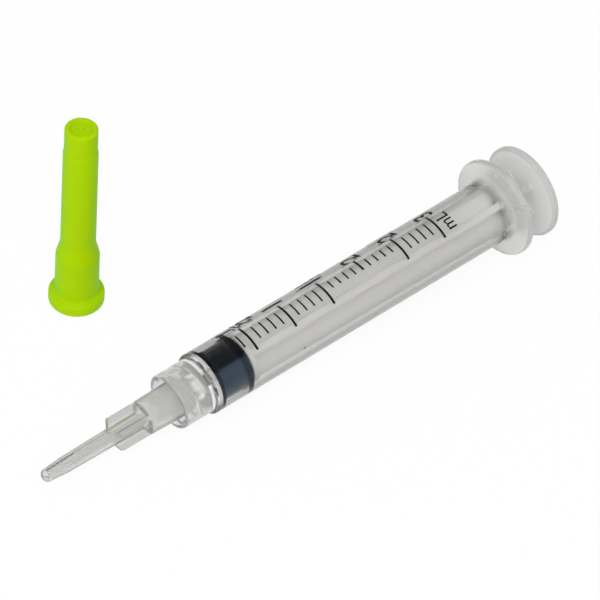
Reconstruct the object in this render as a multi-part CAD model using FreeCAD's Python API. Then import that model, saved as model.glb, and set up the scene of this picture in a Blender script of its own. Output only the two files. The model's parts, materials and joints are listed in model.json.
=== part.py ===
"""A 3 mL lock-collar syringe with its blunt cannula fitted and the cannula's cap stood beside it.

Lengths are in millimetres. Each piece is drawn about the syringe's own axis, X, with x = 0 at the
zero line of the barrel's scale and the cannula's tip towards -X. The finished pieces are then laid
down as the real syringe lies, on its flange's rim and its front shoulder, with +Z up.
"""
import FreeCAD, Part
import math
import os

from FreeCAD import Placement, Rotation, Vector

# Scale and bore: the bore follows from the volume that the scale's length holds.
SCALE_VOLUME = 3000.0
SCALE_LENGTH = 47.2
BORE_R = math.sqrt(SCALE_VOLUME / (math.pi * SCALE_LENGTH))

# Barrel, from its front shoulder to the finger flange.
SHOULDER_X = -1.75
SHOULDER_ROUND = 0.48
END_WALL_X = -0.5
END_WALL_CORNER = 0.25
OUTLET_ROUND = 0.2
BARREL_R = 5.24
BARREL_DRAFT = 0.004
FLANGE_X = 60.95
FLANGE_R = 8.68
FLANGE_THICK = 1.35
FLANGE_ROUND = 0.45
FLANGE_FILLET = 0.6
MOUTH_LEAD = 0.45
MOUTH_LEAD_LENGTH = 1.2
MOUTH_LEAD_ROUND = 0.6
MOUTH_RIM_ROUND = 0.3

# Lock collar with its two-start thread, and the conical nozzle inside it.
COLLAR_X = -7.5
COLLAR_R = 4.68
COLLAR_GROWTH = 0.02
COLLAR_ROUND = 0.35
COLLAR_MOUTH_ROUND = 0.2
COLLAR_FILLET = 0.15
COLLAR_FLOOR_X = -2.1
COLLAR_FLOOR_ROUND = 0.3
THREAD_ROOT_R = 4.05
THREAD_CREST_R = 3.6
THREAD_LEAD = 5.0
THREAD_STARTS = 2
THREAD_BASE = 1.0
THREAD_TOP = 0.45
THREAD_SUNK = 0.2
THREAD_FRONT_X = -6.9
THREAD_TURNS = 0.85
THREAD_PHASE = 27.0
NOZZLE_X = -10.1
NOZZLE_TIP_R = 1.985
NOZZLE_TIP_ROUND = 0.25
NOZZLE_ROOT_ROUND = 0.2
TAPER = 0.03
NOZZLE_BORE_R = 1.05

# Plunger rod: thumb disc, cross ribs, seat disc and the barbed head that holds the stopper.
THUMB_X = 67.25
THUMB_R = 8.15
THUMB_THICK = 1.25
THUMB_ROUND = 0.4
THUMB_DISH_R = 6.9
THUMB_DISH = 0.25
THUMB_DISH_WALL = 0.3
THUMB_DISH_ROUND = 0.1
GRIP_RINGS = 3
GRIP_RING_BASE = 0.9
GRIP_RING_TOP = 0.3
GRIP_RING_SUNK = 0.05
RIB_HALF_FRONT = 3.75
RIB_HALF_REAR = 4.1
RIB_THICK = 1.15
RIB_PHASE = 35.0
SEAT_R = 4.15
SEAT_THICK = 1.0
SEAT_ROUND = 0.15
SEAT_GAP = 0.05
NECK_R = 1.45
BARB_R = 2.3
BARB_X = 4.6
BARB_ROUND = 0.15
BARB_TIP_R = 1.0
BARB_TIP_X = 2.3
BARB_TIP_ROUND = 0.3
HEAD_GAP = 0.06

# Stopper: two sealing rings with a waist between them.
STOPPER_FRONT_X = -0.45
STOPPER_REAR_X = 6.25
STOPPER_FACE_STEP = 0.1
STOPPER_FACE_ROUND = 0.2
STOPPER_REAR_STEP = 0.4
STOPPER_REAR_SLOPE = 0.5
RING_R = BORE_R - 0.03
RING_FRONT_X = -0.2
RING_FRONT_END = 0.35
RING_REAR_START = 4.7
RING_ROUND = 0.3
WAIST_R = 4.2
WAIST_SLOPE = 0.35

# Cannula: hub with lugs, four fins, and a blunt slotted tube.
HUB_MOUTH_X = -4.75
HUB_MOUTH_ROUND = 0.15
HUB_FRONT_X = -12.6
HUB_FRONT_ROUND = 0.35
HUB_R = 3.04
HUB_DRAFT = 0.03
LUG_R = 3.9
LUG_THICK = 0.5
LUG_ANGLE = 28.0
LUG_PHASE = 104.0
LUG_ROUND = 0.15
CONE_GAP = 0.025
SOCKET_LEAD = 0.1
HUB_CHAMBER_X = -11.4
HUB_CHAMBER_ROUND = 0.3
FIN_X = -18.7
FIN_NOSE = 0.1
FIN_SETBACK = 0.7
FIN_ROUND = 0.35
FIN_R = 2.8
FIN_THICK = 0.85
FIN_COUNT = 4
FIN_PHASE = 45.0
TUBE_ROOT_R = 1.55
TUBE_TIP_X = -31.6
NOSE_R = 0.99
NOSE_ROUND = 0.75
OGIVE_LENGTH = 4.0
OGIVE_R = 1.33
OGIVE_ROUND = 25.0
TUBE_BORE_R = 0.6
TUBE_BORE_END_X = -30.6
TUBE_BORE_ROUND = 0.3
SLOT_WIDTH = 0.45
SLOT_FRONT_X = -30.9
SLOT_REAR_X = -26.2
SLOT_RUN_OUT = 0.6
GROOVE_REAR_X = -19.2
GROOVE_DEPTH = 0.3
GROOVE_FALL = 0.1
OVERLAP = 0.3
SAME_POINT = 1e-6

# Cannula cap, which stands on its mouth flange.
CAP_HEIGHT = 37.0
CAP_TOP_R = 2.62
CAP_TOP_ROUND = 0.45
CAP_TOP_DISH = 0.3
CAP_DISH_RIM = 0.75
CAP_DISH_WALL = 0.25
CAP_DISH_ROUND = 0.15
CAP_STEP_Z = 32.0
CAP_STEP = 0.13
CAP_STEP_HEIGHT = 0.6
CAP_STEP_ROUND = 0.5
CAP_TUBE_R = 2.78
CAP_TUBE_BASE_R = 2.86
CAP_CONE_TOP_Z = 12.9
CAP_CONE_BASE_Z = 10.2
CAP_CONE_ROUND = 0.8
CAP_SKIRT_R = 3.55
CAP_SKIRT_BASE_R = 3.62
CAP_FLANGE_R = 4.58
CAP_FLANGE_THICK = 1.9
CAP_FLANGE_RISE = 0.5
CAP_FLANGE_FILLET = 0.9
CAP_FLANGE_ROUND = 0.4
CAP_SOCKET_R = 3.14
CAP_SOCKET_DEPTH = 9.9
CAP_WALL = 0.45
CAP_ROOF = 0.9
CAP_ROOF_ROUND = 0.4
CAP_INNER_ROUND = 0.6
CAP_STAND_X = -2.3
CAP_STAND_Y = 30.4
GATE_R = 0.45
GATE_HEIGHT = 0.2
GATE_TAPER = 0.1


def rounded_wire(corners):
    """Closed wire in the (x, radius) plane through (x, r, rounding) corners, rounded by arcs."""
    count = len(corners)
    starts, ends, middles = [], [], []
    for i in range(count):
        before = Vector(corners[i - 1][0], 0, corners[i - 1][1])
        here = Vector(corners[i][0], 0, corners[i][1])
        after = Vector(corners[(i + 1) % count][0], 0, corners[(i + 1) % count][1])
        rounding = corners[i][2] if len(corners[i]) > 2 else 0.0
        if rounding == 0.0:
            starts.append(here)
            ends.append(here)
            middles.append(None)
            continue
        back = (before - here).normalize()
        ahead = (after - here).normalize()
        half = back.getAngle(ahead) / 2
        inset = rounding / math.tan(half)
        inward = (back + ahead).normalize()
        centre = here + inward * (rounding / math.sin(half))
        starts.append(here + back * inset)
        ends.append(here + ahead * inset)
        middles.append(centre - inward * rounding)
    edges = []
    for i in range(count):
        if middles[i] is not None:
            edges.append(Part.Arc(starts[i], middles[i], ends[i]).toShape())
        following = starts[(i + 1) % count]
        if (following - ends[i]).Length > SAME_POINT:
            edges.append(Part.LineSegment(ends[i], following).toShape())
    return Part.Wire(edges)


def turned(corners):
    """Solid of revolution about the X axis."""
    face = Part.Face(rounded_wire(corners))
    return face.revolve(Vector(0, 0, 0), Vector(1, 0, 0), 360)


def barrel_radius(x):
    """Outer radius of the drafted barrel wall."""
    return BARREL_R + BARREL_DRAFT * x


def nozzle_radius(x):
    """Radius of the 6 percent cone of the nozzle."""
    return NOZZLE_TIP_R + TAPER * (x - NOZZLE_X)


def hub_radius(x):
    """Outer radius of the cannula's hub."""
    return HUB_R + HUB_DRAFT * (x - COLLAR_X)


def thread_ridge(start):
    """One helical ridge of the collar's thread, sunk a little into the collar's wall."""
    foot = THREAD_ROOT_R + THREAD_SUNK
    helix = Part.makeHelix(THREAD_LEAD, THREAD_LEAD * THREAD_TURNS, THREAD_ROOT_R)
    profile = Part.makePolygon([
        Vector(foot, 0, -THREAD_BASE / 2),
        Vector(THREAD_CREST_R, 0, -THREAD_TOP / 2),
        Vector(THREAD_CREST_R, 0, THREAD_TOP / 2),
        Vector(foot, 0, THREAD_BASE / 2),
        Vector(foot, 0, -THREAD_BASE / 2),
    ])
    ridge = Part.Wire(helix.Edges).makePipeShell([profile], True, True)
    # The helix is made about Z. A third of a turn about the diagonal carries Z onto X and X onto Y.
    ridge.Placement = Placement(Vector(0, 0, 0), Rotation(Vector(1, 1, 1), 120))
    spin = Placement(Vector(THREAD_FRONT_X, 0, 0),
                     Rotation(Vector(1, 0, 0), THREAD_PHASE + 360.0 * start / THREAD_STARTS))
    ridge.Placement = spin.multiply(ridge.Placement)
    return ridge


def make_barrel():
    """Barrel, finger flange, lock collar and nozzle: one moulding."""
    flange_end = FLANGE_X + FLANGE_THICK
    solid = turned([
        (COLLAR_X, COLLAR_R, COLLAR_ROUND),
        (SHOULDER_X, COLLAR_R + COLLAR_GROWTH, COLLAR_FILLET),
        (SHOULDER_X, barrel_radius(SHOULDER_X), SHOULDER_ROUND),
        (FLANGE_X, barrel_radius(FLANGE_X), FLANGE_FILLET),
        (FLANGE_X, FLANGE_R, FLANGE_ROUND),
        (flange_end, FLANGE_R, FLANGE_ROUND),
        (flange_end, BORE_R + MOUTH_LEAD, MOUTH_RIM_ROUND),
        (flange_end - MOUTH_LEAD_LENGTH, BORE_R, MOUTH_LEAD_ROUND),
        (END_WALL_X, BORE_R, END_WALL_CORNER),
        (END_WALL_X, NOZZLE_BORE_R, OUTLET_ROUND),
        (NOZZLE_X, NOZZLE_BORE_R),
        (NOZZLE_X, NOZZLE_TIP_R, NOZZLE_TIP_ROUND),
        (COLLAR_FLOOR_X, nozzle_radius(COLLAR_FLOOR_X), NOZZLE_ROOT_ROUND),
        (COLLAR_FLOOR_X, THREAD_ROOT_R, COLLAR_FLOOR_ROUND),
        (COLLAR_X, THREAD_ROOT_R, COLLAR_MOUTH_ROUND),
    ])
    return solid.fuse([thread_ridge(start) for start in range(THREAD_STARTS)]).removeSplitter()


def head_profile(gap):
    """Corners of the rod's barbed head, grown by a gap: shared with the stopper's cavity."""
    return [
        (STOPPER_REAR_X + SEAT_GAP, NECK_R + gap),
        (BARB_X + gap, NECK_R + gap),
        (BARB_X + gap, BARB_R + gap, BARB_ROUND),
        (BARB_TIP_X - gap, BARB_TIP_R + gap, BARB_TIP_ROUND),
        (BARB_TIP_X - gap, 0.0),
    ]


def thumb_disc():
    """Round thumb disc, dished at the rear, with low grip rings on the dish's floor."""
    end = THUMB_X + THUMB_THICK
    floor = end - THUMB_DISH
    crest = end - GRIP_RING_SUNK
    corners = [
        (THUMB_X, 0.0),
        (THUMB_X, THUMB_R, THUMB_ROUND),
        (end, THUMB_R, THUMB_ROUND),
        (end, THUMB_DISH_R, THUMB_DISH_ROUND),
        (floor, THUMB_DISH_R - THUMB_DISH_WALL, THUMB_DISH_ROUND),
    ]
    for ring in range(GRIP_RINGS, 0, -1):
        middle = ring * THUMB_DISH_R / (GRIP_RINGS + 1)
        corners += [
            (floor, middle + GRIP_RING_BASE / 2),
            (crest, middle + GRIP_RING_TOP / 2),
            (crest, middle - GRIP_RING_TOP / 2),
            (floor, middle - GRIP_RING_BASE / 2),
        ]
    corners.append((floor, 0.0))
    return turned(corners)


def make_plunger_rod():
    """Cross-ribbed rod with its barbed head, seat disc and thumb disc: one moulding."""
    seat_x = STOPPER_REAR_X + SEAT_GAP
    seat_end = seat_x + SEAT_THICK
    head = turned(head_profile(0.0) + [(seat_x, 0.0)])
    seat = turned([
        (seat_x, 0.0),
        (seat_x, SEAT_R, SEAT_ROUND),
        (seat_end, SEAT_R, SEAT_ROUND),
        (seat_end, 0.0),
    ])
    rib_start = seat_x + SEAT_THICK / 2
    rib_end = THUMB_X + THUMB_THICK / 2
    rib = Part.Face(Part.makePolygon([
        Vector(rib_start, RIB_HALF_FRONT, -RIB_THICK / 2),
        Vector(rib_end, RIB_HALF_REAR, -RIB_THICK / 2),
        Vector(rib_end, -RIB_HALF_REAR, -RIB_THICK / 2),
        Vector(rib_start, -RIB_HALF_FRONT, -RIB_THICK / 2),
        Vector(rib_start, RIB_HALF_FRONT, -RIB_THICK / 2),
    ])).extrude(Vector(0, 0, RIB_THICK))
    crossing = rib.copy()
    rib.rotate(Vector(0, 0, 0), Vector(1, 0, 0), RIB_PHASE)
    crossing.rotate(Vector(0, 0, 0), Vector(1, 0, 0), RIB_PHASE + 90)
    return seat.fuse([head, rib, crossing, thumb_disc()]).removeSplitter()


def make_stopper():
    """Rubber stopper with two sealing rings and a cavity for the rod's head."""
    body = turned([
        (STOPPER_FRONT_X, 0.0),
        (STOPPER_FRONT_X, RING_R - STOPPER_FACE_STEP, STOPPER_FACE_ROUND),
        (RING_FRONT_X, RING_R, RING_ROUND),
        (RING_FRONT_END, RING_R, RING_ROUND),
        (RING_FRONT_END + WAIST_SLOPE, WAIST_R, RING_ROUND),
        (RING_REAR_START - WAIST_SLOPE, WAIST_R, RING_ROUND),
        (RING_REAR_START, RING_R, RING_ROUND),
        (STOPPER_REAR_X - STOPPER_REAR_SLOPE, RING_R, RING_ROUND),
        (STOPPER_REAR_X, RING_R - STOPPER_REAR_STEP, STOPPER_FACE_ROUND),
        (STOPPER_REAR_X, 0.0),
    ])
    cavity = turned(head_profile(HEAD_GAP) + [(STOPPER_REAR_X + SEAT_GAP, 0.0)])
    return body.cut(cavity)


def tube_shape():
    """Blunt tube: a rounded nose and a slender ogive that runs back into the hub."""
    root_x = HUB_FRONT_X + OVERLAP
    return turned([
        (TUBE_TIP_X, 0.0),
        (TUBE_TIP_X, NOSE_R, NOSE_ROUND),
        (TUBE_TIP_X + OGIVE_LENGTH, OGIVE_R, OGIVE_ROUND),
        (root_x, TUBE_ROOT_R),
        (root_x, 0.0),
    ])


def fin(angle):
    """One fin: a thin plate with a sloped, rounded front edge, turned to its angle."""
    plate = Part.Face(rounded_wire([
        (FIN_X, TUBE_ROOT_R - OVERLAP),
        (FIN_X + FIN_NOSE, TUBE_ROOT_R),
        (FIN_X + FIN_SETBACK, FIN_R, FIN_ROUND),
        (HUB_FRONT_X + OVERLAP, FIN_R),
        (HUB_FRONT_X + OVERLAP, TUBE_ROOT_R - OVERLAP),
    ])).extrude(Vector(0, FIN_THICK, 0))
    plate.translate(Vector(0, -FIN_THICK / 2, 0))
    # The plate is drawn upright, in the direction 90 degrees from Y.
    plate.rotate(Vector(0, 0, 0), Vector(1, 0, 0), angle - 90)
    return plate


def lug(angle):
    """One of the hub's two lugs: a sector of a thin ring at the hub's mouth."""
    ring = Part.Face(rounded_wire([
        (HUB_MOUTH_X - LUG_THICK, HUB_R - OVERLAP),
        (HUB_MOUTH_X - LUG_THICK, LUG_R, LUG_ROUND),
        (HUB_MOUTH_X, LUG_R, LUG_ROUND),
        (HUB_MOUTH_X, HUB_R - OVERLAP),
    ])).revolve(Vector(0, 0, 0), Vector(1, 0, 0), LUG_ANGLE)
    ring.rotate(Vector(0, 0, 0), Vector(1, 0, 0), angle - 90 - LUG_ANGLE / 2)
    return ring


def slot_cutter(side):
    """Thin cutter on one side of the tube: deep at the slot, shallow along the groove behind it."""
    reach = 2 * TUBE_ROOT_R
    groove_floor = TUBE_ROOT_R - GROOVE_DEPTH
    cutter = Part.Face(rounded_wire([
        (SLOT_FRONT_X, side * TUBE_BORE_R / 2),
        (SLOT_REAR_X, side * TUBE_BORE_R / 2),
        (SLOT_REAR_X + SLOT_RUN_OUT, side * (groove_floor - GROOVE_FALL)),
        (GROOVE_REAR_X, side * groove_floor),
        (GROOVE_REAR_X, side * reach),
        (SLOT_FRONT_X, side * reach),
    ])).extrude(Vector(0, SLOT_WIDTH, 0))
    cutter.translate(Vector(0, -SLOT_WIDTH / 2, 0))
    return cutter


def make_cannula():
    """Hub with its tapered socket and lugs, fins and blunt slotted tube: one moulding."""
    hub = turned([
        (HUB_FRONT_X, 0.0),
        (HUB_FRONT_X, hub_radius(HUB_FRONT_X), HUB_FRONT_ROUND),
        (HUB_MOUTH_X, hub_radius(HUB_MOUTH_X), HUB_MOUTH_ROUND),
        (HUB_MOUTH_X, 0.0),
    ])
    fins = [fin(FIN_PHASE + 360.0 * i / FIN_COUNT) for i in range(FIN_COUNT)]
    lugs = [lug(LUG_PHASE), lug(LUG_PHASE + 180)]
    solid = hub.fuse([tube_shape()] + fins + lugs)
    lead_x = HUB_MOUTH_X + SOCKET_LEAD
    socket = turned([
        (lead_x, 0.0),
        (lead_x, nozzle_radius(lead_x) + CONE_GAP),
        (HUB_CHAMBER_X, nozzle_radius(HUB_CHAMBER_X) + CONE_GAP, HUB_CHAMBER_ROUND),
        (HUB_CHAMBER_X, 0.0),
    ])
    bore = turned([
        (HUB_CHAMBER_X + OVERLAP, 0.0),
        (HUB_CHAMBER_X + OVERLAP, TUBE_BORE_R),
        (TUBE_BORE_END_X, TUBE_BORE_R, TUBE_BORE_ROUND),
        (TUBE_BORE_END_X, 0.0),
    ])
    solid = solid.cut(socket).cut(bore)
    for side in (1, -1):
        solid = solid.cut(slot_cutter(side))
    return solid.removeSplitter()


def make_cannula_cap():
    """Cap for the cannula, drawn standing on its mouth flange about the Z axis at the origin."""
    top_floor = CAP_HEIGHT - CAP_TOP_DISH
    dish_r = CAP_TOP_R - CAP_DISH_RIM
    ceiling = CAP_HEIGHT - CAP_ROOF
    inner_cone_top = CAP_SOCKET_DEPTH + CAP_CONE_TOP_Z - CAP_CONE_BASE_Z
    body = turned([
        (0.0, CAP_SOCKET_R),
        (0.0, CAP_FLANGE_R, CAP_FLANGE_ROUND),
        (CAP_FLANGE_THICK, CAP_FLANGE_R, CAP_FLANGE_ROUND),
        (CAP_FLANGE_THICK + CAP_FLANGE_RISE, CAP_SKIRT_BASE_R, CAP_FLANGE_FILLET),
        (CAP_CONE_BASE_Z, CAP_SKIRT_R, CAP_CONE_ROUND),
        (CAP_CONE_TOP_Z, CAP_TUBE_BASE_R, CAP_CONE_ROUND),
        (CAP_STEP_Z, CAP_TUBE_R, CAP_STEP_ROUND),
        (CAP_STEP_Z + CAP_STEP_HEIGHT, CAP_TUBE_R - CAP_STEP, CAP_STEP_ROUND),
        (CAP_HEIGHT, CAP_TOP_R, CAP_TOP_ROUND),
        (CAP_HEIGHT, dish_r, CAP_DISH_ROUND),
        (top_floor, dish_r - CAP_DISH_WALL, CAP_DISH_ROUND),
        (top_floor, GATE_R),
        (top_floor + GATE_HEIGHT, GATE_R - GATE_TAPER),
        (top_floor + GATE_HEIGHT, 0.0),
        (ceiling, 0.0),
        (ceiling, CAP_TOP_R - CAP_WALL, CAP_ROOF_ROUND),
        (inner_cone_top, CAP_TUBE_BASE_R - CAP_WALL, CAP_INNER_ROUND),
        (CAP_SOCKET_DEPTH, CAP_SOCKET_R),
    ])
    body.rotate(Vector(0, 0, 0), Vector(0, 1, 0), -90)
    return body


def rest_tilt():
    """Angle by which the axis rises to the rear when flange and shoulder both touch the floor."""
    run = (FLANGE_X + FLANGE_ROUND) - (SHOULDER_X + SHOULDER_ROUND)
    rise = (FLANGE_R - FLANGE_ROUND) - (barrel_radius(SHOULDER_X) - SHOULDER_ROUND)
    return math.atan2(rise, run) + math.asin((FLANGE_ROUND - SHOULDER_ROUND) / math.hypot(run, rise))


def laid_down():
    """Placement that lays the drawn syringe on the floor, zero line at X = 0."""
    tilt = rest_tilt()
    height = ((FLANGE_R - FLANGE_ROUND) * math.cos(tilt) + FLANGE_ROUND
              - (FLANGE_X + FLANGE_ROUND) * math.sin(tilt))
    return Placement(Vector(0, 0, height), Rotation(Vector(0, 1, 0), -math.degrees(tilt)))


def main():
    """Build every piece, lay the syringe down, centre the whole and write one file per piece."""
    os.makedirs("parts", exist_ok=True)
    pieces = {
        "barrel": make_barrel(),
        "plunger_rod": make_plunger_rod(),
        "stopper": make_stopper(),
        "cannula": make_cannula(),
    }
    resting = laid_down()
    for shape in pieces.values():
        shape.Placement = resting.multiply(shape.Placement)
    pieces["cannula_cap"] = make_cannula_cap()
    pieces["cannula_cap"].translate(Vector(CAP_STAND_X, CAP_STAND_Y, 0))
    box = Part.makeCompound(list(pieces.values())).optimalBoundingBox(False)
    centre = Vector(-(box.XMin + box.XMax) / 2, -(box.YMin + box.YMax) / 2, -box.ZMin)
    print("centring shift", [round(value, 3) for value in centre])
    print("rest tilt", round(math.degrees(rest_tilt()), 3), "bore radius", round(BORE_R, 3))
    for name, shape in pieces.items():
        shape.translate(centre)
        print(name, "valid", shape.isValid(), "solids", len(shape.Solids),
              "volume", round(shape.Volume, 2))
        shape.exportStep(os.path.join("parts", name + ".step"))


main()
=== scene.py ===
# %% [markdown]
# # A 3 mL lock-collar syringe, dressed for its portrait
#
# The object is a disposable syringe lying on its side, with a blunt cannula in its lock collar and the
# cannula's green cap stood beside it. Every moulded piece already has its true form in the frame, so
# this lesson is mostly about plastics: a clear tube that bends light, a milky rod inside it, black
# rubber that wets the wall, and black print that follows the round of the barrel.

# %% Load the frame
import json
import math

import bmesh
import bpy
import numpy as np
from mathutils import Matrix, Vector


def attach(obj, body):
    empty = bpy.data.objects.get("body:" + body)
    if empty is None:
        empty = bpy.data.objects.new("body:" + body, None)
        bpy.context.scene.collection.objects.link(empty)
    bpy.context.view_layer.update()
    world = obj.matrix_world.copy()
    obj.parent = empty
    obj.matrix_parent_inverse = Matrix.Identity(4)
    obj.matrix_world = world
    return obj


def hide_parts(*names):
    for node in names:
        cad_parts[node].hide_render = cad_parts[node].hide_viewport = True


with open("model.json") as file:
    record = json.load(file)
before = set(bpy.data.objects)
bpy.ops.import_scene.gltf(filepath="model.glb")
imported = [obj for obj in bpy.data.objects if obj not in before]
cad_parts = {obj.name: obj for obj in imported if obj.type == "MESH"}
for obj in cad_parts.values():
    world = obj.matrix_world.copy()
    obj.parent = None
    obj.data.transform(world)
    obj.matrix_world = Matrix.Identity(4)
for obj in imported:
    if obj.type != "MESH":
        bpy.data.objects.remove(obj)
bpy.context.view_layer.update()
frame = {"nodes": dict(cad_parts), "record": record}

nodes = frame["nodes"]
print("pieces in the frame:", sorted(nodes))

# %% [markdown]
# ## The syringe's own axes
#
# The syringe rests on its finger flange and its front shoulder, so its axis rises a little towards the
# rear. All that is printed on the barrel, or fitted round it, is easier to draw in the syringe's own
# coordinates: a distance x along the axis, counted from the zero line of the scale, a distance r from
# the axis, and an angle round it. The frame gives the axis: it is the line that the plunger slides
# along, and it passes through the middle of the thumb face.

# %% Axis, side and up of the syringe
MM = 0.001
THUMB_FACE_X = 68.25 * MM

mounts = {mount["name"]: mount for mount in frame["record"]["mounts"]}
axis = np.array(mounts["thumb_face"]["axis"])
side = np.array([0.0, 1.0, 0.0])
up = np.cross(axis, side)
zero_point = np.array(mounts["thumb_face"]["pos_m"]) - THUMB_FACE_X * axis
tilt = math.atan2(axis[2], axis[0])


def around(x, r, angle):
    """Points in the frame: zero point, plus x along the axis, plus r outwards at the angle, where the
    angle is counted in radians from the far side over the top."""
    x, r, angle = np.broadcast_arrays(x, r, angle)
    outward = np.cos(angle)[..., None] * side + np.sin(angle)[..., None] * up
    return zero_point + x[..., None] * axis + r[..., None] * outward


print("zero line is centred at", np.round(zero_point / MM, 2), "mm, axis rises", round(math.degrees(tilt), 2))

# %% [markdown]
# ## From a grid to a mesh
#
# A surface is a grid of points: one parameter runs along it, the other across it. Neighbours in the grid
# make the faces. Where the across direction is a closed loop, the last column joins the first, and one
# flat face closes each end.

# %% Grids and objects


def closed_grid(rows, columns):
    """Faces of a grid whose columns close on themselves, corner (i, j) to the next column and the next
    row, with one face over the first row and one over the last."""
    i, j = np.meshgrid(np.arange(rows - 1), np.arange(columns), indexing="ij")
    following = (j + 1) % columns
    corners = [i * columns + j, i * columns + following,
               (i + 1) * columns + following, (i + 1) * columns + j]
    faces = np.stack(corners, axis=-1).reshape(-1, 4).tolist()
    first_end = list(range(columns - 1, -1, -1))
    last_end = list(range((rows - 1) * columns, rows * columns))
    return faces + [first_end, last_end]


def mesh_object(name, points, faces, smooth=False):
    """A new object at the origin with these points and faces."""
    mesh = bpy.data.meshes.new(name)
    mesh.from_pydata(points.reshape(-1, 3).tolist(), [], faces)
    mesh.update()
    mesh.polygons.foreach_set("use_smooth", np.full(len(mesh.polygons), smooth))
    piece = bpy.data.objects.new(name, mesh)
    bpy.context.scene.collection.objects.link(piece)
    return piece


print("a closed grid of 3 rows and 4 columns has", len(closed_grid(3, 4)), "faces")

# %% [markdown]
# A turned piece needs only its outline: the grid is that outline, repeated at every angle round the
# axis. A moulded piece has no sharp corners, so each corner of the outline is first cut back along both
# of its straights and bridged by a parabola, which leaves the one and joins the other without a kink.

# %% Turned pieces
CORNER_STEPS = 7


def soft_profile(corners):
    """Outline through (x, r, cut) corners: each inner corner gives way to a parabola that leaves the
    straight the cut's length before it and joins the next straight the cut's length after it."""
    corners = np.array(corners)
    here = corners[1:-1, :2]
    back = corners[:-2, :2] - here
    ahead = corners[2:, :2] - here
    cut = corners[1:-1, 2:]
    start = here + cut * back / np.linalg.norm(back, axis=1, keepdims=True)
    end = here + cut * ahead / np.linalg.norm(ahead, axis=1, keepdims=True)
    t = np.linspace(0, 1, CORNER_STEPS)[None, :, None]
    bends = (1 - t) ** 2 * start[:, None] + 2 * t * (1 - t) * here[:, None] + t ** 2 * end[:, None]
    return np.vstack([corners[:1, :2], bends.reshape(-1, 2), corners[-1:, :2]])


def turned(name, profile, columns):
    """The outline of (x, r) points swept once round the syringe's axis."""
    angles = np.linspace(0, 2 * math.pi, columns, endpoint=False)[None, :]
    points = around(profile[:, :1], profile[:, 1:], angles)
    return mesh_object(name, points, closed_grid(len(profile), columns), smooth=True)


print("a soft corner has", CORNER_STEPS, "points")

# %% [markdown]
# ## Writing materials as sums
#
# A material is a small machine of nodes. To keep it readable, a wire between two nodes is wrapped in a
# class that knows sums and products, so that an expression such as `0.3 + 0.1 * grain` adds the Math
# nodes by itself.

# %% Wires


class Wire:
    """A value that flows from one node's output. Sums and products of wires add Math nodes."""

    def __init__(self, finish, socket):
        self.finish = finish
        self.socket = socket

    def _math(self, operation, first, second):
        return self.finish.node("ShaderNodeMath", {"operation": operation}, {0: first, 1: second})

    def __add__(self, other):
        return self._math("ADD", self, other)

    def __radd__(self, other):
        return self._math("ADD", other, self)

    def __sub__(self, other):
        return self._math("SUBTRACT", self, other)

    def __rsub__(self, other):
        return self._math("SUBTRACT", other, self)

    def __mul__(self, other):
        return self._math("MULTIPLY", self, other)

    def __rmul__(self, other):
        return self._math("MULTIPLY", other, self)


print("wires can be added, subtracted and multiplied")

# %% [markdown]
# A material grows by one method, which adds any node: it takes the node's type, its settings and what
# goes into its sockets, and gives back the wire that leaves it.

# %% Nodes


class Nodes:
    """A material under construction, to which any node can be added."""

    def __init__(self, name):
        self.material = bpy.data.materials.new(name)
        self.material.use_nodes = True
        self.tree = self.material.node_tree
        self.tree.nodes.clear()
        self.output = self.tree.nodes.new("ShaderNodeOutputMaterial")

    def connect(self, socket, value):
        """Link a wire to a socket, or set a plain value on it."""
        if isinstance(value, Wire):
            self.tree.links.new(value.socket, socket)
        else:
            socket.default_value = value

    def node(self, kind, settings=None, inputs=None, output=0):
        """Any node: its settings are set first, then its sockets take values or wires."""
        made = self.tree.nodes.new(kind)
        for key, value in (settings or {}).items():
            setattr(made, key, value)
        for key, value in (inputs or {}).items():
            self.connect(made.inputs[key], value)
        return Wire(self, made.outputs[output])

    def done(self, surface):
        """The material, with this surface linked to its output."""
        self.tree.links.new(surface.socket, self.output.inputs["Surface"])
        return self.material


print("any node comes from the method", Nodes.node.__name__)

# %% [markdown]
# What varies over a piece depends on where the point lies on the syringe, on how squarely the surface is
# seen there, and on how a soft noise swells. Every piece keeps its place in its mesh, so its Object
# coordinates are the frame's, and a Mapping node turns them into the syringe's own.

# %% Patterns


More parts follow.
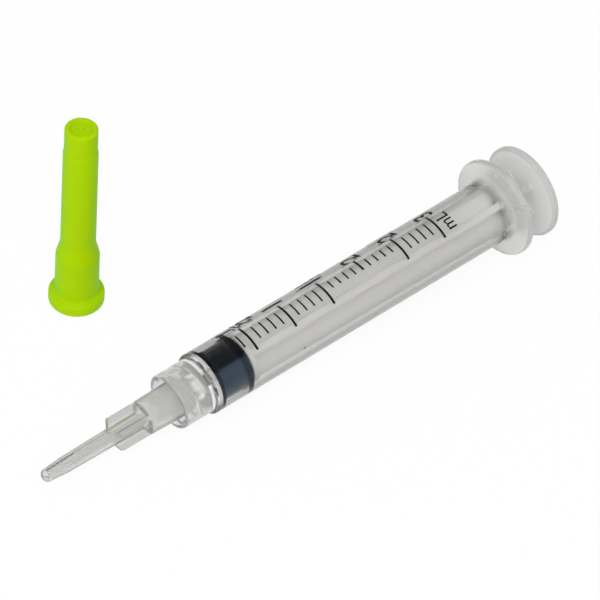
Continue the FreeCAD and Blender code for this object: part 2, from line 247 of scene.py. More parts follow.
class Patterns(Nodes):
    """Wires that tell where a point lies, how squarely it is seen, and how a soft noise swells there."""

    def place(self):
        """The point's place in the syringe's own coordinates: along the axis, sideways, upwards."""
        turn = Matrix.Rotation(tilt, 3, "Y")
        spot = self.node("ShaderNodeTexCoord", output="Object")
        return self.node("ShaderNodeMapping", None, {
            "Vector": spot,
            "Location": -(turn @ Vector(zero_point)),
            "Rotation": (0.0, tilt, 0.0),
        })

    def along(self):
        """Distance along the axis from the zero line, in metres."""
        return self.node("ShaderNodeSeparateXYZ", None, {0: self.place()})

    def leaning(self, angle):
        """Distance from the axis, in metres, counted outwards along the angle round it."""
        way = (0.0, math.cos(angle), math.sin(angle))
        return self.node("ShaderNodeVectorMath", {"operation": "DOT_PRODUCT"},
                         {0: self.place(), 1: way}, "Value")

    def from_axis(self):
        """Distance from the syringe's axis, in metres."""
        across = self.node("ShaderNodeVectorMath", {"operation": "MULTIPLY"},
                           {0: self.place(), 1: (0.0, 1.0, 1.0)})
        return self.node("ShaderNodeVectorMath", {"operation": "LENGTH"}, {0: across}, "Value")

    def step(self, value, start, end):
        """0 before the start and 1 after the end, with a smooth climb between them."""
        return self.node("ShaderNodeMapRange", {"interpolation_type": "SMOOTHSTEP"},
                         {"Value": value, "From Min": start, "From Max": end})

    def grazing(self, start, end):
        """0 where the surface is seen squarely, 1 where it is seen along its skin."""
        facing = self.node("ShaderNodeLayerWeight", None, {"Blend": 0.5}, "Facing")
        return self.step(facing, start, end)

    def grain(self, size, detail=2.0, stretch=1.0):
        """Soft noise from 0 to 1 with blotches of the size, drawn out along the axis by the stretch."""
        spot = self.node("ShaderNodeVectorMath", {"operation": "MULTIPLY"},
                         {0: self.place(), 1: (1.0 / stretch, 1.0, 1.0)})
        return self.node("ShaderNodeTexNoise", None,
                         {"Vector": spot, "Scale": 1.0 / size, "Detail": detail})


print("patterns are turned by", round(math.degrees(tilt), 2), "degrees to follow the syringe")

# %% [markdown]
# A finish adds the words for the last steps: to blend two colours, to raise a relief, to make a surface
# and to mix two surfaces. A solid that is dressed in it gives up the plain material that it came with.

# %% Finishes


class Finish(Patterns):
    """A material with words for its colours, its relief and its surfaces."""

    def blend(self, factor, first, second):
        """Colour that goes from the first to the second as the factor goes from 0 to 1. A Mix node takes
        its colours in sockets 6 and 7 and gives one from output 2."""
        return self.node("ShaderNodeMix", {"data_type": "RGBA"}, {0: factor, 6: first, 7: second}, 2)

    def bump(self, height, depth):
        """Surface relief: a height of 1 stands for that many metres."""
        return self.node("ShaderNodeBump", None, {"Height": height, "Distance": depth, "Strength": 1.0})

    def skin(self, **inputs):
        """Principled surface with these inputs."""
        named = {key.replace("_", " ").title().replace("Ior", "IOR"): value for key, value in inputs.items()}
        return self.node("ShaderNodeBsdfPrincipled", None, named)

    def mixed(self, factor, first, second):
        """Surface that goes from the first to the second as the factor goes from 0 to 1."""
        return self.node("ShaderNodeMixShader", None, {0: factor, 1: first, 2: second})


def rgb(red, green, blue):
    """An opaque colour from three linear shares."""
    return (red, green, blue, 1.0)


def dress(name, material):
    """The solid of this name takes the material in place of the one that it came with."""
    mesh = nodes[name].data
    mesh.materials.clear()
    mesh.materials.append(material)
    print(name, "wears", material.name, "with", len(material.node_tree.nodes), "nodes")


print("solids to dress:", len(nodes))

# %% [markdown]
# ## The plastics
#
# The barrel is polypropylene: light goes through, bends and spreads a little. The tube's wall is thin, so
# it stays clear, and the print on it must stay sharp. The lock collar has more plastic in it and looks
# hazy. The finger flange is thickest, and there light spreads under the skin and makes it milky. So the
# material mixes three surfaces, clear, hazy and milky, by the place along the axis. The bore is rougher
# than the outside, which softens the rod behind it. Where the wall is seen along its skin, light has a
# long way to go through it, and the colour there is painted darker, a painted shade that darkens both
# outlines of the tube. Just before the flange the wall is painted clearer, painted light that lifts the
# shade there.

# %% Barrel plastic
BARREL_IOR = 1.49
BARREL_PAINTED_EDGE = (0.20, 0.60)
FLOW_SIZE = 0.9 * MM
FLOW_DETAIL = 1.0
BARREL_FLOW_STRETCH = 20.0
BARREL_FLOW_DEPTH = 0.0006 * MM
BARREL_HAZE_SIZE = 2.5 * MM
BORE_SIDE = 4.6 * MM
OUTER_SIDE = 5.0 * MM
BORE_PAINTED_EDGE = 0.15
REAR_PAINTED_LIGHT_START = 52.5 * MM
REAR_PAINTED_LIGHT_FULL = 57.0 * MM
COLLAR_FULL = -2.6 * MM
COLLAR_START = -1.2 * MM
COLLAR_HAZE = 0.55
FLANGE_START = 58.5 * MM
FLANGE_FULL = 61.0 * MM
FLANGE_MILK = 0.75
FLANGE_SPREAD = 1.5 * MM


def barrel_plastic():
    """Clear polypropylene with faint flow lines, hazy in the collar and milky in the flange."""
    finish = Finish("barrel_plastic")
    relief = finish.bump(finish.grain(FLOW_SIZE, FLOW_DETAIL, BARREL_FLOW_STRETCH), BARREL_FLOW_DEPTH)
    haze = finish.grain(BARREL_HAZE_SIZE)
    outside = finish.step(finish.from_axis(), BORE_SIDE, OUTER_SIDE)
    # Painted light: just before the flange the wall is painted clearer, to lift the shade there.
    rear = finish.step(finish.along(), REAR_PAINTED_LIGHT_START, REAR_PAINTED_LIGHT_FULL)
    collar = 1.0 - finish.step(finish.along(), COLLAR_FULL, COLLAR_START)
    flange = finish.step(finish.along(), FLANGE_START, FLANGE_FULL)
    # Painted shade: darker colour where the wall is seen along its skin, faint on the bore, none on the
    # flange.
    edge = finish.grazing(*BARREL_PAINTED_EDGE) * (BORE_PAINTED_EDGE + (1.0 - BORE_PAINTED_EDGE) * outside) * (1.0 - flange)
    tube = finish.blend(haze, rgb(0.945, 0.94, 0.925), rgb(0.975, 0.97, 0.955))
    wall = finish.blend(rear, tube, rgb(0.99, 0.988, 0.975))
    clear = finish.skin(
        base_color=finish.blend(edge, wall, rgb(0.17, 0.168, 0.16)),
        roughness=0.12 - 0.06 * outside + 0.03 * haze,
        ior=BARREL_IOR,
        specular_tint=rgb(0.12, 0.12, 0.12),
        transmission_weight=1.0,
        normal=relief,
    )
    hazy = finish.skin(
        base_color=finish.blend(edge, rgb(0.95, 0.955, 0.94), rgb(0.50, 0.50, 0.49)),
        roughness=0.12 + 0.05 * haze,
        ior=BARREL_IOR,
        transmission_weight=0.66,
        normal=relief,
    )
    milky = finish.skin(
        base_color=finish.blend(haze, rgb(0.82, 0.825, 0.81), rgb(0.86, 0.865, 0.85)),
        roughness=0.22 + 0.08 * haze,
        ior=BARREL_IOR,
        transmission_weight=0.45,
        subsurface_weight=1.0,
        subsurface_radius=(1.0, 1.0, 1.0),
        subsurface_scale=FLANGE_SPREAD,
        normal=relief,
    )
    tube_wall = finish.mixed(COLLAR_HAZE * collar, clear, hazy)
    return finish.done(finish.mixed(FLANGE_MILK * flange, tube_wall, milky))


dress("barrel", barrel_plastic())

# %% [markdown]
# The cannula is a clear resin too, but its small moulding is all corners and short walls, so light gets
# lost in it and it looks evenly hazy. The hub has a socket around the nozzle, four skins instead of two,
# so its resin is painted lighter, painted light that makes it look the same. A fin is a thin plate in
# front of a white floor, so its resin is painted greyer, as painted shade. Where the resin is seen along
# its skin, its colour is painted darker, a painted shade on the outlines. The skin stays fairly smooth,
# because rough clear plastic with walls this close together fills the render with speckles.

# %% Cannula plastic
CANNULA_IOR = 1.45
CANNULA_PAINTED_EDGE = (0.30, 0.70)
CANNULA_FLOW_STRETCH = 10.0
CANNULA_FLOW_DEPTH = 0.001 * MM
CANNULA_HAZE_SIZE = 1.5 * MM
HUB_PAINTED_LIGHT_START = -14.0 * MM
HUB_PAINTED_LIGHT_FULL = -11.5 * MM
FIN_PAINTED_SHADE_START = 1.6 * MM
FIN_PAINTED_SHADE_FULL = 2.1 * MM


def cannula_plastic():
    """The cannula's hazy, greyish resin: painted lighter in the hub, greyer in the fins, darker at outlines.
    """
    finish = Finish("cannula_plastic")
    relief = finish.bump(finish.grain(FLOW_SIZE, FLOW_DETAIL, CANNULA_FLOW_STRETCH), CANNULA_FLOW_DEPTH)
    haze = finish.grain(CANNULA_HAZE_SIZE)
    # Painted light: the hub's resin is painted lighter.
    hub = finish.step(finish.along(), HUB_PAINTED_LIGHT_START, HUB_PAINTED_LIGHT_FULL)
    # Painted shade: the fins' resin is painted greyer.
    fins = finish.step(finish.from_axis(), FIN_PAINTED_SHADE_START, FIN_PAINTED_SHADE_FULL)
    tube = finish.blend(haze, rgb(0.77, 0.775, 0.75), rgb(0.81, 0.815, 0.79))
    front = finish.blend(fins, tube, rgb(0.66, 0.665, 0.645))
    resin = finish.blend(hub, front, rgb(0.89, 0.895, 0.87))
    # Painted shade: the colour darkens where the resin is seen along its skin.
    surface = finish.skin(
        base_color=finish.blend(finish.grazing(*CANNULA_PAINTED_EDGE), resin, rgb(0.45, 0.45, 0.44)),
        roughness=0.12 + 0.05 * haze,
        ior=CANNULA_IOR,
        transmission_weight=0.66,
        normal=relief,
    )
    return finish.done(surface)


dress("cannula", cannula_plastic())

# %% [markdown]
# The rod is a milky white plastic. Inside the barrel it is seen through the wall, which takes some light
# on the way in and again on the way out, so the shaft is nearly white to look light grey there. The ribs
# and the thumb disc stand outside in full light, so they are painted greyer, a painted shade against that
# light, and light spreads under their skin. The ribs and the disc's rim face the lamp, so they are
# painted darkest, as painted shade.

# %% Rod plastic
ROD_IOR = 1.40
ROD_HAZE_SIZE = 1.8 * MM
ROD_GRAIN_SIZE = 0.4 * MM
ROD_GRAIN_DEPTH = 0.003 * MM
OUTER_START = 60.0 * MM
OUTER_FULL = 62.0 * MM
DISC_START = 66.6 * MM
DISC_FULL = 67.2 * MM
DISC_SPREAD = 2.0 * MM
PAINTED_RIM_START = 7.4 * MM
PAINTED_RIM_FULL = 8.0 * MM


def rod_plastic():
    """White, diffuse plastic inside the barrel; softer outside, where painted shade greys the ribs and the
    disc.
    """
    finish = Finish("rod_plastic")
    relief = finish.bump(finish.grain(ROD_GRAIN_SIZE), ROD_GRAIN_DEPTH)
    haze = finish.grain(ROD_HAZE_SIZE)
    outer = finish.step(finish.along(), OUTER_START, OUTER_FULL)
    disc = finish.step(finish.along(), DISC_START, DISC_FULL)
    # Painted shade: the disc's rim is painted darker than its face.
    rim_painted_shade = finish.step(finish.from_axis(), PAINTED_RIM_START, PAINTED_RIM_FULL)
    plate = finish.blend(rim_painted_shade, rgb(0.87, 0.875, 0.855), rgb(0.58, 0.585, 0.57))
    inside_barrel = finish.skin(
        base_color=finish.blend(haze, rgb(0.88, 0.88, 0.87), rgb(0.92, 0.92, 0.91)),
        roughness=0.44 + 0.12 * haze,
        ior=ROD_IOR,
        normal=relief,
    )
    # Painted shade: outside the barrel the ribs and the disc are painted greyer.
    outside_barrel = finish.skin(
        base_color=finish.blend(disc, rgb(0.60, 0.605, 0.59), plate),
        roughness=0.50 + 0.12 * haze,
        ior=ROD_IOR,
        transmission_weight=0.25,
        subsurface_weight=1.0,
        subsurface_radius=(1.0, 1.0, 1.0),
        subsurface_scale=DISC_SPREAD,
        normal=relief,
    )
    return finish.done(finish.mixed(outer, inside_barrel, outside_barrel))


dress("plunger_rod", rod_plastic())

# %% [markdown]
# The cap is polyethylene coloured in the mass. It is nearly opaque, a little light gets under its skin,
# and the colour is not quite even: it has soft clouds of a yellower green. Where the surface is seen
# along its skin, it is painted a lighter, greener colour, painted light for the light that shines
# through the plastic there.

# %% Cap plastic
CAP_PAINTED_EDGE = (0.25, 0.95)
CLOUD_SIZE = 4.0 * MM
CAP_HAZE_SIZE = 0.8 * MM
CAP_GRAIN_SIZE = 0.5 * MM
CAP_GRAIN_DEPTH = 0.004 * MM
CAP_SPREAD = 1.2 * MM


def cap_plastic():
    """Lime green polyethylene, nearly opaque, with soft yellower clouds and painted light greening its
    outlines.
    """
    finish = Finish("cap_plastic")
    clouded_green = finish.blend(finish.grain(CLOUD_SIZE), rgb(0.352, 0.60, 0.0), rgb(0.40, 0.60, 0.0))
    # Painted light: a lighter, greener colour where the surface is seen along its skin.
    surface = finish.skin(
        base_color=finish.blend(finish.grazing(*CAP_PAINTED_EDGE), clouded_green, rgb(0.265, 0.655, 0.0)),
        roughness=0.34 + 0.10 * finish.grain(CAP_HAZE_SIZE),
        specular_ior_level=0.04,
        subsurface_weight=0.2,
        subsurface_radius=(1.0, 1.0, 0.2),
        subsurface_scale=CAP_SPREAD,
        normal=finish.bump(finish.grain(CAP_GRAIN_SIZE), CAP_GRAIN_DEPTH),
    )
    return finish.done(surface)


dress("cannula_cap", cap_plastic())

# %% [markdown]
# ## The rubber
#
# Where the two sealing rings press on the bore, there is no air between rubber and plastic, nothing is
# reflected, and the ring looks black across the whole width of the barrel. Between the rings the rubber
# stands off the wall. Its lower side is painted a bluish grey, a painted sheen for the white floor that
# it reflects, and its upper far side stays darker. The rings get a fainter painted sheen on that side
# too. The distance from the axis tells ring from waist, so one material serves for both.

# %% Stopper rubber
RUBBER_IOR = 1.52
RUBBER_GRAIN_SIZE = 0.35 * MM
RUBBER_GRAIN_DETAIL = 3.0
RUBBER_GRAIN_DEPTH = 0.003 * MM
WET_START = 4.40 * MM
WET_FULL = 4.47 * MM
PAINTED_SHEEN_AWAY = math.radians(35.5)
PAINTED_SHEEN_FADE_START = -0.1 * MM
PAINTED_SHEEN_FADE_FULL = 0.7 * MM


def stopper_rubber():
    """Smooth rubber: dead black where it wets the wall, with a painted bluish sheen on its lower side."""
    finish = Finish("stopper_rubber")
    grain = finish.grain(RUBBER_GRAIN_SIZE, RUBBER_GRAIN_DETAIL)
    # Painted reflection: the rubber's lower side is painted bluish grey, fainter on the rings.
    painted_sheen_side = 1.0 - finish.step(finish.leaning(PAINTED_SHEEN_AWAY), PAINTED_SHEEN_FADE_START, PAINTED_SHEEN_FADE_FULL)
    sheen = finish.skin(
        base_color=finish.blend(painted_sheen_side, rgb(0.002, 0.006, 0.013), rgb(0.062, 0.096, 0.148)),
        roughness=0.30 + 0.12 * grain,
        ior=RUBBER_IOR,
        specular_ior_level=0.1,
        normal=finish.bump(grain, RUBBER_GRAIN_DEPTH),
    )
    wet = finish.skin(
        base_color=finish.blend(painted_sheen_side, rgb(0.006, 0.008, 0.010), rgb(0.05, 0.07, 0.09)),
        roughness=0.8 + 0.1 * grain,
        specular_ior_level=0.0,
    )
    contact = finish.step(finish.from_axis(), WET_START, WET_FULL)
    return finish.done(finish.mixed(contact, sheen, wet))


rubber = stopper_rubber()
dress("stopper", rubber)

# %% [markdown]
# The solid stopper in the frame keeps a hair of clearance all round. The dressed one is turned anew, with
# its rings pressed a hair into the wall, and takes the solid's place. Its outline, in millimetres, goes
# from the front face over both rings to the rear, and back along the cavity that snaps over the rod's
# head. It starts and ends a little off the axis, where a small flat face closes it. Each corner has its
# distance along the axis, its radius and its cut.

# %% Stopper
AXIS_R = 0.05
BORE_R = 4.498
RING_PRESS = 0.014
CONTACT_R = BORE_R + RING_PRESS
FRONT_X = -0.45
FRONT_R = 4.36
FRONT_RING_START = -0.38
FRONT_RING_END = 0.12
WAIST_START = 0.44
WAIST_END = 4.40
WAIST_R = 4.2
REAR_RING_START = 4.72
REAR_RING_END = 5.72
SHOULDER_X = 6.15
SHOULDER_R = 4.10
REAR_X = 6.25
REAR_R = 3.70
NECK_R = 1.51
NECK_END = 4.66
BARB_R = 2.36
CAVITY_END = 2.24
CAVITY_END_R = 1.06
FRONT_CUT = 0.08
LIP_CUT = 0.05
RING_CUT = 0.12
WAIST_CUT = 0.14
REAR_CUT = 0.10
TIP_CUT = 0.20
STOPPER_COLUMNS = 160

stopper_outline = soft_profile([
    (FRONT_X, AXIS_R, 0.0),
    (FRONT_X, FRONT_R, FRONT_CUT),
    (FRONT_RING_START, CONTACT_R, LIP_CUT),
    (FRONT_RING_END, CONTACT_R, RING_CUT),
    (WAIST_START, WAIST_R, WAIST_CUT),
    (WAIST_END, WAIST_R, WAIST_CUT),
    (REAR_RING_START, CONTACT_R, RING_CUT),
    (REAR_RING_END, CONTACT_R, RING_CUT),
    (SHOULDER_X, SHOULDER_R, RING_CUT),
    (REAR_X, REAR_R, REAR_CUT),
    (REAR_X, NECK_R, REAR_CUT),
    (NECK_END, NECK_R, LIP_CUT),
    (NECK_END, BARB_R, REAR_CUT),
    (CAVITY_END, CAVITY_END_R, TIP_CUT),
    (CAVITY_END, AXIS_R, 0.0),
])
stopper = turned("stopper_rubber_body", stopper_outline * MM, STOPPER_COLUMNS)
stopper.data.materials.append(rubber)
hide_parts("stopper")
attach(stopper, "plunger")
print("stopper outline has", len(stopper_outline), "points")

# %% [markdown]
# ## The printed scale
#
# The scale is pad-printed. One ink serves for every printed piece: black, thin, a little uneven. The
# print is part of the barrel, so each piece of it moves with the barrel.

# %% Ink
INK_GRAIN_SIZE = 0.15 * MM
INK_GRAIN_DEPTH = 0.002 * MM


def print_ink():
    """Pad-printed black ink: thin, a little uneven, with a dull shine."""
    finish = Finish("print_ink")
    cover = finish.grain(INK_GRAIN_SIZE)
    surface = finish.skin(
        base_color=finish.blend(cover, rgb(0.004, 0.004, 0.005), rgb(0.014, 0.014, 0.016)),
        roughness=0.42 + 0.2 * cover,
        specular_ior_level=0.12,
        normal=finish.bump(cover, INK_GRAIN_DEPTH),
    )
    return finish.done(surface)


ink = print_ink()


def printed(piece):
    """The piece takes the ink and moves with the barrel."""
    piece.data.materials.append(ink)
    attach(piece, "barrel")


print(ink.name, "has", len(ink.node_tree.nodes), "nodes")

# %% [markdown]
# A line of print is a thin strip that hugs the round wall, and the wall widens a little towards the rear.
# The strip is sunk a hair into the plastic, as ink bites into it, so that the ray through the clear wall
# meets ink and no air.

# %% Strips of ink
BARREL_R = 5.24 * MM
BARREL_DRAFT = 0.004
INK_SINK = 0.004 * MM
INK_RISE = 0.012 * MM
STRIP_ROWS = 25


def wall_radius(x):
    """Outer radius of the barrel at x: it widens evenly towards the rear."""
    return BARREL_R + BARREL_DRAFT * x


def strip(x, span, width):
    """Closed strip of ink round the wall at x, from the span's first angle to its last: corners at half
    a width each side, sunk and raised."""
    angles = np.radians(np.linspace(span[0], span[1], STRIP_ROWS))[:, None]
    across = np.array([-0.5, 0.5, 0.5, -0.5]) * width
    lift = np.array([-INK_SINK, -INK_SINK, INK_RISE, INK_RISE])
    return around(x + across, wall_radius(x) + lift, angles)


print("ink stands", round(INK_RISE / MM, 3), "mm proud of a wall of radius", round(BARREL_R / MM, 2), "mm")

# %% [markdown]
# The barrel holds 3 mL over the length of its scale, so a tick's place follows from its volume. Ten ticks
# make a millilitre, and every fifth is long. Around 2 mL they all end earlier. The whole scale is one
# piece.

# %% Ticks
SCALE_LENGTH = 47.2 * MM
FULL_VOLUME = 3.0
TICKS = 31
TICKS_IN_1_ML = 10
LONG_EVERY = 5
SHORTENED = range(16, 25)
LONG_WIDTH = 0.41 * MM
SHORT_WIDTH = 0.30 * MM
LONG_SPAN = (70.3, 124.5)
LONG_SPAN_SHORTENED = (71.3, 99.3)
SHORT_SPAN = (81.5, 110.0)
SHORT_SPAN_SHORTENED = (81.5, 99.0)


def place_of(volume):
    """Distance of a volume's mark from the zero line."""
    return volume / FULL_VOLUME * SCALE_LENGTH


def tick(count):
    """The strip of the tick with this number, counted from the zero line."""
    x = place_of(count / TICKS_IN_1_ML)
    if count % LONG_EVERY == 0:
        return strip(x, LONG_SPAN_SHORTENED if count in SHORTENED else LONG_SPAN, LONG_WIDTH)
    return strip(x, SHORT_SPAN_SHORTENED if count in SHORTENED else SHORT_SPAN, SHORT_WIDTH)


strips = np.stack([tick(count) for count in range(TICKS)])
rows, columns = strips.shape[1:3]
faces = [[corner + count * rows * columns for corner in face]
         for count in range(TICKS) for face in closed_grid(rows, columns)]
printed(mesh_object("scale_ticks", strips, faces))
print("ticks:", len(strips), "the last at", np.round(strips[-1].mean(axis=(0, 1)) / MM, 2), "mm")

# %% [markdown]
# The numbers are type. Blender's type is a flat curve, and its mesh has faces as large as the letter
# allows. To bend, a face needs corners along its way, so the mesh is cut into narrow slices first.

# %% Flat type
TYPE_DEPTH = 0.01
TYPE_CURVE_STEPS = 8
DOUBLES_APART = 1e-5


def flat_type(words, weight):
    """The words as a thin flat solid. The weight thickens every stroke."""
    curve = bpy.data.curves.new("words", "FONT")
    curve.body = words
    curve.extrude = TYPE_DEPTH
    curve.offset = weight
    curve.resolution_u = TYPE_CURVE_STEPS
    holder = bpy.data.objects.new("words", curve)
    bpy.context.scene.collection.objects.link(holder)
    bpy.context.view_layer.update()
    mesh = bpy.data.meshes.new_from_object(holder.evaluated_get(bpy.context.evaluated_depsgraph_get()))
    bpy.data.objects.remove(holder)
    return mesh


def slice_up(mesh, cuts):
    """Merge the mesh's doubles and cut its faces at every one of these places across its width."""
    solid = bmesh.new()
    solid.from_mesh(mesh)
    bmesh.ops.remove_doubles(solid, verts=solid.verts, dist=DOUBLES_APART)
    for cut in cuts:
        everything = solid.verts[:] + solid.edges[:] + solid.faces[:]
        bmesh.ops.bisect_plane(solid, geom=everything, plane_co=(cut, 0, 0), plane_no=(1, 0, 0))
    solid.to_mesh(mesh)
    solid.free()


def corners_of(mesh):
    """The mesh's vertices as one array of points."""
    flat = np.empty(3 * len(mesh.vertices))
    mesh.vertices.foreach_get("co", flat)
    return flat.reshape(-1, 3)


print("type is made with", TYPE_CURVE_STEPS, "steps to a bend")

# %% [markdown]
# The numbers read round the barrel, with their tops towards the tip. So the type's reading direction goes
# over the top of the barrel, its height along the axis, and its thickness outwards.

# %% Type that bends round the barrel
SLICE = 0.25 * MM
TYPE_ASPECT = 0.85


def printed_type(name, words, x, first_angle, height, weight):
    """Type wrapped on the barrel: a flat point (u, v, w) lands at x - v, at the first angle less u / r,
    and at the wall's radius plus the ink's thickness for w. Returns the angle where the type ends."""
    mesh = flat_type(words, weight)
    low, high = corners_of(mesh).min(axis=0), corners_of(mesh).max(axis=0)
    width = TYPE_ASPECT * height * (high[0] - low[0]) / (high[1] - low[1])
    slice_up(mesh, np.linspace(low[0], high[0], int(width / SLICE) + 2)[1:-1])
    u, v, w = ((corners_of(mesh) - low) / (high - low) * [width, height, INK_SINK + INK_RISE]).T
    radius = wall_radius(x)
    wrapped = around(x + height / 2 - v, radius - INK_SINK + w, math.radians(first_angle) - u / radius)
    mesh.vertices.foreach_set("co", wrapped.ravel())
    mesh.update()
    piece = bpy.data.objects.new(name, mesh)
    bpy.context.scene.collection.objects.link(piece)
    printed(piece)
    print(name, len(wrapped), "points")
    return first_angle - math.degrees(width / radius)


print("type is cut every", round(SLICE / MM, 2), "mm")

# %% [markdown]
# A number stands beside every long tick but the first. The digits share one height and one angle, apart
# from the 1, which is narrow and set apart.

# %% Numbers
DIGIT_HEIGHT = 3.6 * MM
DIGIT_WEIGHT = 0.011
DIGIT_ANGLE = 70.0
ONE_HEIGHT = 4.0 * MM
ONE_SHIFT = 0.5 * MM
ONE_ANGLE = 64.0


def printed_number(name, whole, x):
    """One large digit beside its long tick. The 1 is taller, and stands nearer the tip and the edge."""
    if whole == 1:
        return printed_type(name, "1", x - ONE_SHIFT, ONE_ANGLE, ONE_HEIGHT, DIGIT_WEIGHT)
    return printed_type(name, str(whole), x, DIGIT_ANGLE, DIGIT_HEIGHT, DIGIT_WEIGHT)


print("digits are", round(DIGIT_HEIGHT / MM, 2), "mm high")

# %% [markdown]
# The halves are seen almost edge on in the photograph, and are drawn as stacked fractions: a small 1, a
# bar and a small 2.

# %% Halves
HALF_HEIGHT = 5.4 * MM
HALF_ALONE_HEIGHT = 7.3 * MM
SMALL_SHARE = 0.41
SMALL_WEIGHT = 0.020
SMALL_INSET = 3.0
BAR_WIDTH = 0.30 * MM
BAR_SPAN = 24.0


def printed_half(name, x, first_angle, height):
    """The fraction one half: a small 1, a bar and a small 2, stacked towards the tip."""
    small = SMALL_SHARE * height
    rise = (height - small) / 2
    printed_type(name + "_1", "1", x - rise, first_angle - SMALL_INSET, small, SMALL_WEIGHT)
    printed_type(name + "_2", "2", x + rise, first_angle - SMALL_INSET, small, SMALL_WEIGHT)
    bar = strip(x, (first_angle, first_angle - BAR_SPAN), BAR_WIDTH)
    printed(mesh_object(name + "_bar", bar[::-1], closed_grid(*bar.shape[:2])))


print("halves are", round(HALF_HEIGHT / MM, 2), "mm high, and", round(HALF_ALONE_HEIGHT / MM, 2), "mm alone")

# %% [markdown]
# Each place follows from its volume, as a tick's does. A half stands a small gap after its whole number,
# and the first half stands alone. The unit is set smaller, behind the last tick.

# %% Everything that reads on the scale
HALF = 0.5
HALF_GAP = 6.0
HALF_ALONE_ANGLE = 62.0
UNIT_HEIGHT = 2.45 * MM
UNIT_WEIGHT = 0.006
UNIT_ANGLE = 117.0
UNIT_GAP = 1.9 * MM

for whole in (1, 2, 3):
    printed_number(f"number_{whole}", whole, place_of(whole))
    if whole < FULL_VOLUME:
        x = place_of(whole + HALF)
        name = f"number_{whole}_half"
        end_angle = printed_number(name, whole, x)
        printed_half(name, x, end_angle - HALF_GAP, HALF_HEIGHT)
printed_half("number_half", place_of(HALF), HALF_ALONE_ANGLE, HALF_ALONE_HEIGHT)
printed_type("scale_unit", "mL", SCALE_LENGTH + UNIT_GAP, UNIT_ANGLE, UNIT_HEIGHT, UNIT_WEIGHT)

# %% [markdown]
# One dark speck is moulded into the wall near the front, on the side that faces the camera. It is a
# flat lens: its height falls from the middle to the edge as a circle's does.

# %% Speck
SPECK_X = 15.8 * MM
SPECK_ANGLE = math.radians(167.0)
SPECK_LENGTH = 0.20 * MM
SPECK_WIDTH = 0.14 * MM
SPECK_ROWS = 9
SPECK_COLUMNS = 16
POLE_GAP = 0.05

slope = np.linspace(POLE_GAP, math.pi - POLE_GAP, SPECK_ROWS)[:, None]
turn = np.linspace(0, 2 * math.pi, SPECK_COLUMNS, endpoint=False)[None, :]
speck_points = around(SPECK_X + SPECK_LENGTH * np.sin(slope) * np.cos(turn),
                      wall_radius(SPECK_X) - INK_SINK - INK_RISE * np.cos(slope),
                      SPECK_ANGLE + SPECK_WIDTH * np.sin(slope) * np.sin(turn) / BARREL_R)
printed(mesh_object("dark_speck", speck_points, closed_grid(SPECK_ROWS, SPECK_COLUMNS), smooth=True))
print("speck at", np.round(speck_points.mean(axis=(0, 1)) / MM, 2), "mm")

# %% [markdown]
# ## Camera, floor and light
#
# The camera stands where the photograph was taken from. Its pose has three unit columns: back points away
# from what it looks at, right is level but for a small roll, and up follows from the two.

# %% Camera
CAMERA_PLACE = np.array([-218.70, -234.36, 322.72]) * MM
CAMERA_AZIMUTH = math.radians(-44.66)
CAMERA_ELEVATION = math.radians(44.96)
CAMERA_ROLL = math.radians(6.358)
LENS = 167.21
SENSOR_WIDTH = 36.0
NEAREST = 0.01
FARTHEST = 50.0

back = np.array([math.sin(CAMERA_AZIMUTH) * math.cos(CAMERA_ELEVATION),
                 -math.cos(CAMERA_AZIMUTH) * math.cos(CAMERA_ELEVATION),
                 math.sin(CAMERA_ELEVATION)])
level = np.cross([0.0, 0.0, 1.0], back)
level /= np.linalg.norm(level)
upright = np.cross(back, level)
right = math.cos(CAMERA_ROLL) * level + math.sin(CAMERA_ROLL) * upright
pose = np.eye(4)
pose[:3, :3] = np.stack([right, np.cross(back, right), back], axis=1)
pose[:3, 3] = CAMERA_PLACE

lens = bpy.data.cameras.new("camera")
lens.lens = LENS
lens.sensor_width = SENSOR_WIDTH
lens.clip_start = NEAREST
lens.clip_end = FARTHEST
camera = bpy.data.objects.new("camera", lens)
bpy.context.scene.collection.objects.link(camera)
camera.matrix_world = Matrix(pose.tolist())
bpy.context.scene.camera = camera
print("camera is", round(np.linalg.norm(CAMERA_PLACE) / MM), "mm from the frame's origin")

# %% [markdown]
# The floor is white to every ray that looks at it straight, by reflection or through the plastic. A
# small share of it stays plain paper, which keeps a trace of the object's shadow, and paper is all that
# the other rays meet, so the floor lights the object from below no more than a real one would.

# %% Floor
FLOOR_SIZE = 4.0
SHADOW_SHARE = 0.07
PAPER = 0.96


def floor_white():
    """Glowing white for the rays that look at the floor, less the share that stays paper, and paper for
    all others."""
    finish = Finish("floor_white")
    by_camera, by_gloss, by_glass = [finish.node("ShaderNodeLightPath", output=ray) for ray in
                                     ("Is Camera Ray", "Is Glossy Ray", "Is Transmission Ray")]
    seen = by_camera + by_gloss + by_glass
    glow = finish.node("ShaderNodeEmission", None, {"Color": rgb(1.0, 1.0, 1.0), "Strength": 1.0})
    paper = finish.node("ShaderNodeBsdfDiffuse", None, {"Color": rgb(PAPER, PAPER, PAPER)})
    return finish.done(finish.mixed((1.0 - SHADOW_SHARE) * seen, paper, glow))


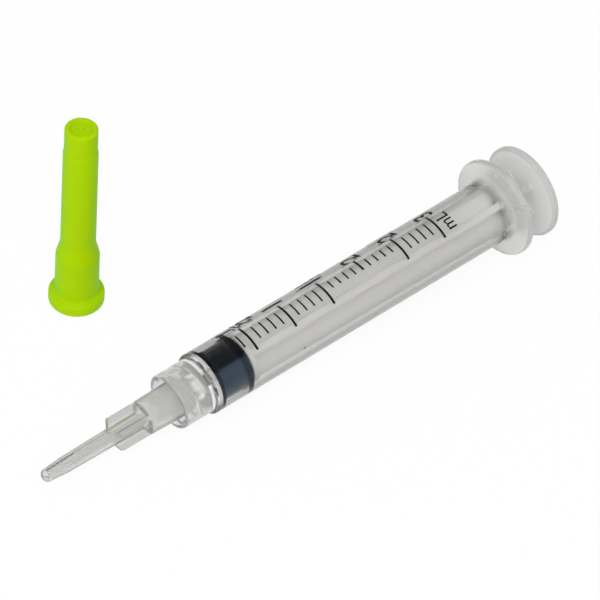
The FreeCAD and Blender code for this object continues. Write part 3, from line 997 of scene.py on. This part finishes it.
corners = np.array([[-1, -1, 0], [1, -1, 0], [1, 1, 0], [-1, 1, 0]]) * FLOOR_SIZE / 2
floor = mesh_object("floor", corners, [[0, 1, 2, 3]])
floor.data.materials.append(floor_white())
print("floor is", FLOOR_SIZE, "m wide and keeps", SHADOW_SHARE, "of its shadows")

# %% [markdown]
# An even white sky fills the shadows. With the soft box it adds up to a level at which a colour renders
# about as it is written, and pale plastic doesn't clip to white.

# %% Sky
SKY_LEVEL = 0.58

world = bpy.data.worlds.new("studio")
world.use_nodes = True
background = world.node_tree.nodes["Background"]
background.inputs["Color"].default_value = rgb(1.0, 1.0, 1.0)
background.inputs["Strength"].default_value = SKY_LEVEL
bpy.context.scene.world = world
print("sky is white at a level of", SKY_LEVEL)

# %% [markdown]
# One large soft box, above the object and towards the camera's side, gives the plastics their shape. An
# area lamp shines along its own -Z, so its Z axis points from the object to the lamp.

# %% Soft box
BOX_SIZE = 0.7
BOX_WATTS = 6.0
BOX_PLACE = Vector((-0.45, -0.35, 0.80))

lamp = bpy.data.lights.new("soft_box", "AREA")
lamp.shape = "RECTANGLE"
lamp.size = BOX_SIZE
lamp.size_y = BOX_SIZE
lamp.energy = BOX_WATTS
box = bpy.data.objects.new("soft_box", lamp)
bpy.context.scene.collection.objects.link(box)
box.matrix_world = Matrix.Translation(BOX_PLACE) @ BOX_PLACE.to_track_quat("Z", "Y").to_matrix().to_4x4()
print("soft box is", round(BOX_PLACE.length, 2), "m away and", BOX_SIZE, "m wide")

# %% [markdown]
# Light that enters the clear pieces crosses many walls before it leaves them, so it is followed for many
# bounces. The Standard view shows a colour as it is written.

# %% Bounces and view
CLEAR_BOUNCES = 24
GLOSSY_BOUNCES = 8
DIFFUSE_BOUNCES = 6

scene = bpy.context.scene
scene.view_settings.view_transform = "Standard"
scene.cycles.use_denoising = True
scene.cycles.max_bounces = CLEAR_BOUNCES
scene.cycles.transmission_bounces = CLEAR_BOUNCES
scene.cycles.glossy_bounces = GLOSSY_BOUNCES
scene.cycles.diffuse_bounces = DIFFUSE_BOUNCES
print("light is followed for up to", CLEAR_BOUNCES, "bounces")
